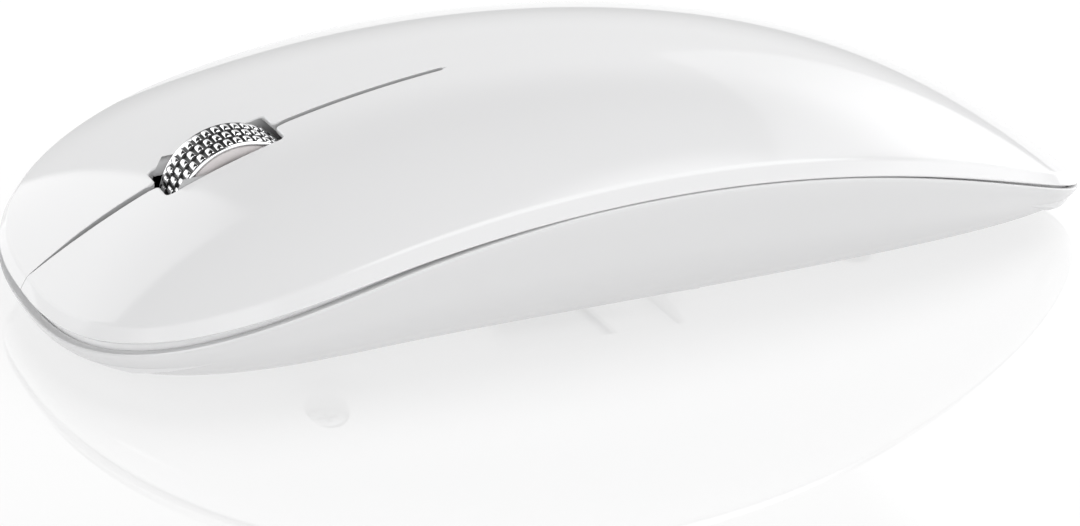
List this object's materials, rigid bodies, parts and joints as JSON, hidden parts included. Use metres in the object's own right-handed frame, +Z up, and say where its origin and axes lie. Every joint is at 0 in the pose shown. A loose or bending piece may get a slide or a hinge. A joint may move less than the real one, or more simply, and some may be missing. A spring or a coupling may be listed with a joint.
{
  "type": "computer mouse",
  "caption": "Slim wireless optical mouse: domed cover with click flaps, scroll wheel, base shell, battery bay and stowed receiver.",
  "frame": {"origin": "on the resting surface, below the middle of the case", "axes": "+Z up, -Y towards the nose with the buttons, +X towards the mouse's own left side"},
  "size_m": [0.0578, 0.112, 0.0228],
  "materials": {
    "shell_white": "satin white ABS, fine moulded texture",
    "cover_white": "high-gloss white ABS",
    "frame_white": "satin white ABS",
    "foot_pad": "low-friction PTFE pad",
    "wheel_chrome": "polished chrome plating over a moulded tread",
    "wheel_plastic": "pale pinkish grey moulded plastic",
    "carrier_grey": "grey moulded plastic",
    "steel": "nickel-plated steel",
    "brass": "nickel and brass contact",
    "board_green": "green solder mask on glass-epoxy laminate",
    "black_plastic": "black moulded plastic",
    "red_plastic": "red moulded plastic",
    "clear_plastic": "clear moulded acrylic",
    "led_tint": "clear epoxy lamp body",
    "capacitor_sleeve": "dark printed sleeve with a bare metal top",
    "ferrite": "ferrite with copper turns",
    "battery_jacket": "plain printed jacket with bare metal ends",
    "lead_red": "red wire insulation",
    "lead_black": "black wire insulation"
  },
  "bodies": {
    "case": {"lower_shell": "shell_white", "mid_frame": "frame_white", "palm_cover": "cover_white", "front_foot": "foot_pad", "rear_foot": "foot_pad", "wheel_spring": "steel", "circuit_board": "board_green", "left_switch_case": "black_plastic", "right_switch_case": "black_plastic", "wheel_switch_case": "black_plastic", "board_screw_left": "steel", "board_screw_right": "steel", "case_screw_front_left": "steel", "case_screw_front_right": "steel", "case_screw_rear": "steel", "scroll_emitter": "clear_plastic", "scroll_receiver": "black_plastic", "sensor_chip": "black_plastic", "sensor_led": "led_tint", "sensor_lens": "clear_plastic", "radio_chip": "black_plastic", "clock_crystal": "steel", "boost_coil": "ferrite", "capacitor": "capacitor_sleeve", "power_switch_body": "black_plastic", "battery": "battery_jacket", "battery_spring": "steel", "battery_contact": "brass", "battery_lead_red": "lead_red", "battery_lead_black": "lead_black"},
    "left_button": {"left_button": "cover_white"},
    "right_button": {"right_button": "cover_white"},
    "left_plunger": {"left_switch_plunger": "red_plastic"},
    "right_plunger": {"right_switch_plunger": "red_plastic"},
    "wheel_carrier": {"wheel_carrier": "carrier_grey"},
    "wheel": {"wheel_tyre": "wheel_chrome", "wheel_hub": "wheel_plastic", "wheel_axle": "steel"},
    "wheel_plunger": {"wheel_switch_plunger": "red_plastic"},
    "power_knob": {"power_knob": "black_plastic"},
    "battery_door": {"battery_door": "shell_white"},
    "receiver": {"receiver_cap": "black_plastic", "receiver_plug": "steel", "receiver_tongue": "black_plastic"}
  },
  "joints": [
    {"name": "left_press", "type": "hinge", "parent": "case", "child": "left_button", "pos_m": [0, -0.012, 0.0146], "axis": [1, 0, 0], "range_deg": [0, 1.1], "stiffness_Nm_per_rad": 0.6, "springref_deg": -0.86},
    {"name": "right_press", "type": "hinge", "parent": "case", "child": "right_button", "pos_m": [0, -0.012, 0.0146], "axis": [1, 0, 0], "range_deg": [0, 1.1], "stiffness_Nm_per_rad": 0.6, "springref_deg": -0.86},
    {"name": "left_click", "type": "slide", "parent": "case", "child": "left_plunger", "axis": [0, 0, -1], "range_m": [0, 0.0006]},
    {"name": "right_click", "type": "slide", "parent": "case", "child": "right_plunger", "axis": [0, 0, -1], "range_m": [0, 0.0006]},
    {"name": "wheel_press", "type": "slide", "parent": "case", "child": "wheel_carrier", "axis": [0, 0, -1], "range_m": [0, 0.0005], "stiffness_N_per_m": 1500, "springref_m": -0.0003, "deforming": ["wheel_spring"]},
    {"name": "wheel_spin", "type": "hinge", "parent": "wheel_carrier", "child": "wheel", "pos_m": [0, -0.0346, 0.01094], "axis": [1, 0, 0], "continuous": true},
    {"name": "wheel_click", "type": "slide", "parent": "case", "child": "wheel_plunger", "axis": [0, 0, -1], "range_m": [0, 0.0005]},
    {"name": "power_slide", "type": "slide", "parent": "case", "child": "power_knob", "axis": [0, 1, 0], "range_m": [0, 0.003]},
    {"name": "door_hinge", "type": "hinge", "parent": "case", "child": "battery_door", "pos_m": [-0.0076, -0.0162, 0.0013], "axis": [-1, 0, 0], "range_deg": [0, 60]},
    {"name": "receiver_pull", "type": "slide", "parent": "case", "child": "receiver", "axis": [0, 0, -1], "range_m": [0, 0.012]}
  ],
  "couplings": [
    {"joint": "left_click", "follows": "left_press", "m_per_rad": 0.031},
    {"joint": "right_click", "follows": "right_press", "m_per_rad": 0.031},
    {"joint": "wheel_click", "follows": "wheel_press", "ratio": 1}
  ]
}
